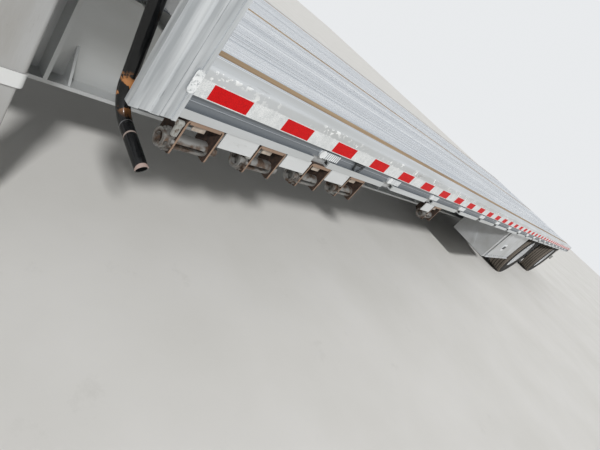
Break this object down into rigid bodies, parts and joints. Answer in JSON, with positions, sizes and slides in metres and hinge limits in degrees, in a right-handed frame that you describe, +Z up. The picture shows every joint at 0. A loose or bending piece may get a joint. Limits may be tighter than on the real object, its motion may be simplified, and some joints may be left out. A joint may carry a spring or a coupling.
{
  "type": "semi trailer",
  "caption": "Aluminium step-deck flatbed semi trailer with spread axles, turning wheels, drop-down toolbox doors, strap winches and lowered landing gear.",
  "frame": {"origin": "on the ground, under the middle of the overall length and width", "axes": "+X forward towards the nose, +Y to the trailer's left side, +Z up"},
  "size_m": [14.63, 2.591, 1.5],
  "materials": {
    "bright_aluminium": "ribbed extrusion, bright and weathered",
    "rail_aluminium": "dull, dusty extrusion",
    "frame_aluminium": "mill finish, dull",
    "wood": "weathered boards",
    "rusty_steel": "rusted",
    "black_steel": "worn black paint",
    "leg_steel": "worn grey paint",
    "wheel_aluminium": "polished",
    "hub_iron": "cast, dusty",
    "tyre": "matt black",
    "air_spring_rubber": "matt black",
    "flap": "white sheet",
    "box_aluminium": "dull sheet",
    "lamp_red": "red lens"
  },
  "bodies": {
    "trailer": {"air_springs": "air_spring_rubber", "air_tanks": "black_steel", "axles": "black_steel", "brake_chambers": "black_steel", "coupler_plate": "black_steel", "crank_handle": "black_steel", "goosenecks": "frame_aluminium", "landing_gear_braces": "frame_aluminium", "landing_gear_gearboxes": "leg_steel", "landing_gear_inner_legs": "leg_steel", "landing_gear_legs": "leg_steel", "left_toolbox": "box_aluminium", "lower_crossmembers": "frame_aluminium", "lower_deck_floor": "bright_aluminium", "lower_side_rails": "rail_aluminium", "main_beams": "frame_aluminium", "mud_flap_bars": "black_steel", "mud_flaps": "flap", "nailers": "wood", "neck_beams": "frame_aluminium", "nose_couplings": "black_steel", "nose_rail": "rail_aluminium", "rear_lamps": "lamp_red", "rear_sill": "rail_aluminium", "right_toolbox": "box_aluminium", "riser_posts": "rail_aluminium", "skirt_plates": "rail_aluminium", "stake_pockets": "rail_aluminium", "step_panel": "bright_aluminium", "suspension_hangers": "black_steel", "trailing_arms": "black_steel", "underride_guard": "frame_aluminium", "upper_crossmembers": "frame_aluminium", "upper_deck_floor": "bright_aluminium", "upper_side_rails": "rail_aluminium", "winch_drums": "rusty_steel", "winch_frames": "rusty_steel"},
    "front_left_wheels": {"front_left_tyres": "tyre", "front_left_wheel": "wheel_aluminium", "front_left_hub": "hub_iron"},
    "front_right_wheels": {"front_right_tyres": "tyre", "front_right_wheel": "wheel_aluminium", "front_right_hub": "hub_iron"},
    "rear_left_wheels": {"rear_left_tyres": "tyre", "rear_left_wheel": "wheel_aluminium", "rear_left_hub": "hub_iron"},
    "rear_right_wheels": {"rear_right_tyres": "tyre", "rear_right_wheel": "wheel_aluminium", "rear_right_hub": "hub_iron"},
    "left_door": {"left_toolbox_door": "box_aluminium"},
    "right_door": {"right_toolbox_door": "box_aluminium"}
  },
  "joints": [
    {"name": "front_left_wheels_spin", "type": "hinge", "parent": "trailer", "child": "front_left_wheels", "pos_m": [-3.071, 0.928, 0.4635], "axis": [0, 1, 0], "continuous": true},
    {"name": "front_right_wheels_spin", "type": "hinge", "parent": "trailer", "child": "front_right_wheels", "pos_m": [-3.071, -0.928, 0.4635], "axis": [0, 1, 0], "continuous": true},
    {"name": "rear_left_wheels_spin", "type": "hinge", "parent": "trailer", "child": "rear_left_wheels", "pos_m": [-6.144, 0.928, 0.4635], "axis": [0, 1, 0], "continuous": true},
    {"name": "rear_right_wheels_spin", "type": "hinge", "parent": "trailer", "child": "rear_right_wheels", "pos_m": [-6.144, -0.928, 0.4635], "axis": [0, 1, 0], "continuous": true},
    {"name": "left_door_hinge", "type": "hinge", "parent": "trailer", "child": "left_door", "pos_m": [-1.593, 1.1895, 0.3435], "axis": [-1, 0, 0], "range_deg": [0, 90]},
    {"name": "right_door_hinge", "type": "hinge", "parent": "trailer", "child": "right_door", "pos_m": [-1.593, -1.1895, 0.3435], "axis": [1, 0, 0], "range_deg": [0, 90]}
  ]
}
